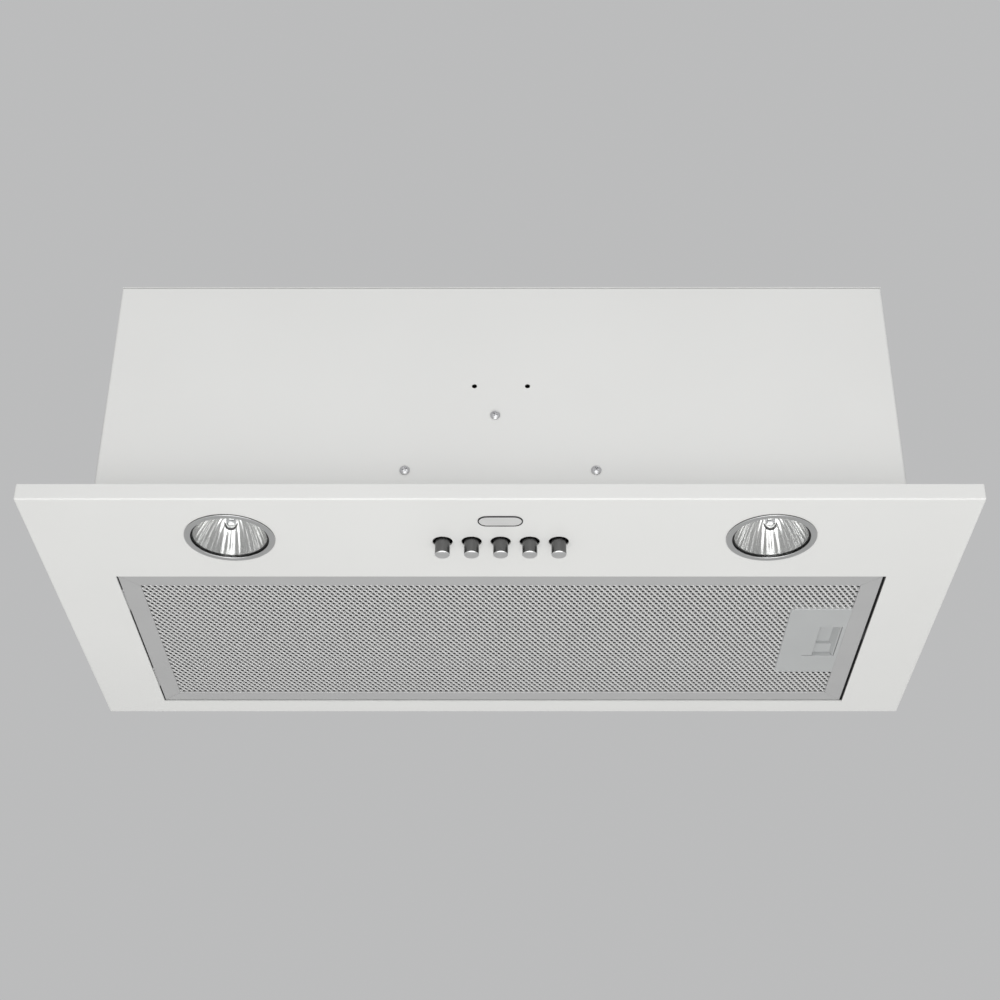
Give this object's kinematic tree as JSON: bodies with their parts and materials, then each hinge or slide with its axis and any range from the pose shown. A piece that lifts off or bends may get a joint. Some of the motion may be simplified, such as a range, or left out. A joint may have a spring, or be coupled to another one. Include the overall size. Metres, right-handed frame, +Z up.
{
  "type": "built-in cooker hood",
  "caption": "Built-in kitchen fume extractor hood: steel body on a wide face panel with lamps, push buttons, a drop-down grease filter, a blower and a round duct collar.",
  "frame": {"origin": "centre of the cabinet cut-out, in the plane where the rim's lip meets the cabinet's underside", "axes": "+X to the right along the face panel, +Y to the wall behind, +Z up along the duct; the buttons and lamps are at the front, -Y"},
  "size_m": [0.6, 0.312, 0.249],
  "materials": {
    "white_enamel": "powder-coated white, satin",
    "galvanised": "zinc-coated sheet",
    "screw_zinc": "bright zinc",
    "bezel_metal": "satin nickel",
    "lamp_glass": "clear",
    "reflector": "mirror-coated",
    "ceramic": "white ceramic",
    "black_plastic": "moulded black",
    "brass_contacts": "plain brass",
    "button_chrome": "turned and plated",
    "spring_steel": "bright steel",
    "capacitor_case": "white",
    "filter_border": "matt grey",
    "filter_mesh": "plain aluminium",
    "latch_grey": "moulded grey",
    "blower_grey": "moulded dark grey",
    "impeller_black": "moulded black",
    "motor_steel": "plain steel",
    "rubber": "soft black"
  },
  "bodies": {
    "hood": {"face_panel": "white_enamel", "body_wrapper": "white_enamel", "rear_panel": "white_enamel", "top_panel": "white_enamel", "filter_stops": "galvanised", "front_screws": "screw_zinc", "top_screws": "screw_zinc", "blower_screws": "screw_zinc", "collar_screws": "screw_zinc", "motor_screws": "screw_zinc", "lamp_bezel_left": "bezel_metal", "lamp_glass_left": "lamp_glass", "lamp_reflector_left": "reflector", "lamp_bezel_right": "bezel_metal", "lamp_glass_right": "lamp_glass", "lamp_reflector_right": "reflector", "lamp_capsules": "lamp_glass", "lamp_sockets": "ceramic", "lamp_cans": "galvanised", "switch_bracket": "galvanised", "switch_body": "black_plastic", "switch_terminals": "brass_contacts", "button_spring_1": "spring_steel", "button_spring_2": "spring_steel", "button_spring_3": "spring_steel", "button_spring_4": "spring_steel", "button_spring_5": "spring_steel", "terminal_box": "black_plastic", "terminal_lid": "black_plastic", "capacitor": "capacitor_case", "capacitor_clip": "galvanised", "cable_gland": "black_plastic", "gland_nut": "black_plastic", "scroll_left": "blower_grey", "scroll_right": "blower_grey", "motor_housing": "motor_steel", "motor_stator": "motor_steel", "motor_bearings": "spring_steel", "motor_bracket": "galvanised", "motor_grommets": "rubber", "duct_collar": "black_plastic", "flap_rod": "spring_steel"},
    "filter": {"filter_frame": "filter_border", "filter_mesh_lower": "filter_mesh", "filter_core": "filter_mesh", "filter_mesh_upper": "filter_mesh", "latch_housing": "latch_grey", "latch_spring": "spring_steel"},
    "latch": {"latch_slider": "latch_grey"},
    "rotor": {"impeller": "impeller_black", "impeller_disc": "impeller_black", "motor_shaft": "spring_steel", "motor_rotor": "motor_steel"},
    "damper_front": {"flap_front": "black_plastic"},
    "damper_rear": {"flap_rear": "black_plastic"},
    "push_button_1": {"button_1": "button_chrome"},
    "push_button_2": {"button_2": "button_chrome"},
    "push_button_3": {"button_3": "button_chrome"},
    "push_button_4": {"button_4": "button_chrome"},
    "push_button_5": {"button_5": "button_chrome"}
  },
  "joints": [
    {"name": "filter_swing", "type": "hinge", "parent": "hood", "child": "filter", "pos_m": [-0.255, 0.03975, -0.0103], "axis": [0, 1, 0], "range_deg": [0, 75]},
    {"name": "latch_slide", "type": "slide", "parent": "filter", "child": "latch", "axis": [-1, 0, 0], "range_m": [0, 0.006], "stiffness_N_per_m": 300, "springref_m": -0.004, "deforming": ["latch_spring"]},
    {"name": "impeller_spin", "type": "hinge", "parent": "hood", "child": "rotor", "pos_m": [0, 0.05197, 0.0915], "axis": [1, 0, 0], "continuous": true},
    {"name": "flap_front_swing", "type": "hinge", "parent": "hood", "child": "damper_front", "pos_m": [0, 0.002, 0.1735], "axis": [-1, 0, 0], "range_deg": [0, 70]},
    {"name": "flap_rear_swing", "type": "hinge", "parent": "hood", "child": "damper_rear", "pos_m": [0, 0.002, 0.1735], "axis": [1, 0, 0], "range_deg": [0, 70]},
    {"name": "button_1_press", "type": "slide", "parent": "hood", "child": "push_button_1", "axis": [0, 0, 1], "range_m": [0, 0.004], "stiffness_N_per_m": 400, "springref_m": -0.002, "deforming": ["button_spring_1"]},
    {"name": "button_2_press", "type": "slide", "parent": "hood", "child": "push_button_2", "axis": [0, 0, 1], "range_m": [0, 0.004], "stiffness_N_per_m": 400, "springref_m": -0.002, "deforming": ["button_spring_2"]},
    {"name": "button_3_press", "type": "slide", "parent": "hood", "child": "push_button_3", "axis": [0, 0, 1], "range_m": [0, 0.004], "stiffness_N_per_m": 400, "springref_m": -0.002, "deforming": ["button_spring_3"]},
    {"name": "button_4_press", "type": "slide", "parent": "hood", "child": "push_button_4", "axis": [0, 0, 1], "range_m": [0, 0.004], "stiffness_N_per_m": 400, "springref_m": -0.002, "deforming": ["button_spring_4"]},
    {"name": "button_5_press", "type": "slide", "parent": "hood", "child": "push_button_5", "axis": [0, 0, 1], "range_m": [0, 0.004], "stiffness_N_per_m": 400, "springref_m": -0.002, "deforming": ["button_spring_5"]}
  ]
}
